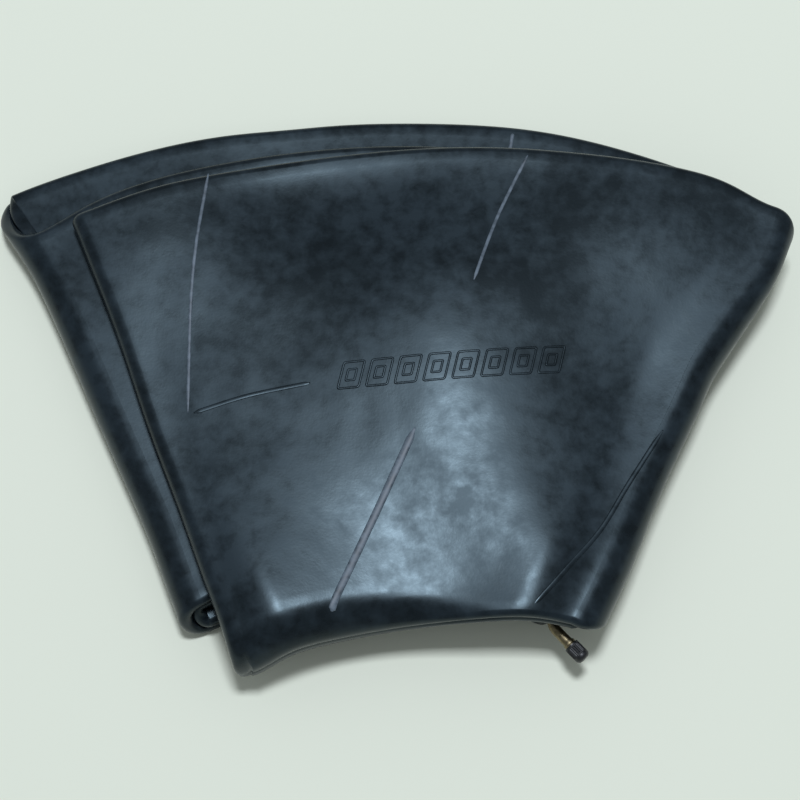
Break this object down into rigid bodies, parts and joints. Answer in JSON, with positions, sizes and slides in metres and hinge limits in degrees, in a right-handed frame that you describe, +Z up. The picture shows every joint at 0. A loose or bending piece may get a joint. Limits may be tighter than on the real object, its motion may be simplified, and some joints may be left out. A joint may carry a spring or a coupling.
{
  "type": "inner tube",
  "caption": "Heavy rubber inner tube folded flat into a fan-shaped packet that opens at its folds, with a bent brass valve, spring valve core and screw cap.",
  "frame": {"origin": "middle of the packet's outline, on the surface it lies on", "axes": "+Z up; +Y towards the tube's outer, longer curved edge; +X towards the fold that joins the front and middle panels, with the valve at +X -Y"},
  "size_m": [0.419, 0.3099, 0.0474],
  "materials": {
    "tube_rubber": "soft satin butyl rubber with a bloom of talc",
    "base_rubber": "matt moulded rubber",
    "valve_brass": "dull brass, slightly browned",
    "core_brass": "bright turned brass",
    "core_gasket": "smooth red sealing plastic",
    "core_steel": "plain steel wire",
    "cap_plastic": "moulded black plastic, satin",
    "seal_rubber": "matt black rubber"
  },
  "bodies": {
    "back_panel": {"tube_back_panel": "tube_rubber", "left_fold_inner": "tube_rubber", "left_fold_outer": "tube_rubber"},
    "middle_panel": {"tube_middle_panel": "tube_rubber", "right_fold_inner": "tube_rubber", "right_fold_outer": "tube_rubber", "valve_base_pad": "base_rubber", "valve_stem": "valve_brass", "core_plug": "core_brass", "core_barrel": "core_brass", "core_gasket": "core_gasket", "core_spring": "core_steel"},
    "front_panel": {"tube_front_panel": "tube_rubber"},
    "valve_pin": {"core_pin": "core_steel", "core_cup": "core_brass", "core_seat_washer": "seal_rubber"},
    "cap_disc": {"cap_seal": "seal_rubber"},
    "cap": {"cap_shell": "cap_plastic"}
  },
  "joints": [
    {"name": "rear_fold", "type": "hinge", "parent": "back_panel", "child": "middle_panel", "pos_m": [-0.12127, -0.07147, 0.0157], "axis": [0.4337, -0.9011, 0], "range_deg": [0, 120], "deforming": ["left_fold_inner", "left_fold_outer"]},
    {"name": "front_fold", "type": "hinge", "parent": "middle_panel", "child": "front_panel", "pos_m": [0.11994, -0.07228, 0.0317], "axis": [0.4462, 0.8949, 0], "range_deg": [0, 95], "deforming": ["right_fold_inner", "right_fold_outer"]},
    {"name": "pin_press", "type": "slide", "parent": "middle_panel", "child": "valve_pin", "axis": [-0.6909, 0.723, 0], "range_m": [0, 0.0015], "stiffness_N_per_m": 1200, "springref_m": -0.003, "deforming": ["core_spring"]},
    {"name": "cap_travel", "type": "slide", "parent": "middle_panel", "child": "cap_disc", "axis": [0.6909, -0.723, 0], "range_m": [0, 0.00476]},
    {"name": "cap_spin", "type": "hinge", "parent": "cap_disc", "child": "cap", "pos_m": [0.09404, -0.15105, 0.0237], "axis": [0.6909, -0.723, 0], "range_deg": [0, 2160]}
  ],
  "couplings": [
    {"joint": "cap_spin", "follows": "cap_travel", "rad_per_m": 7915.8}
  ]
}
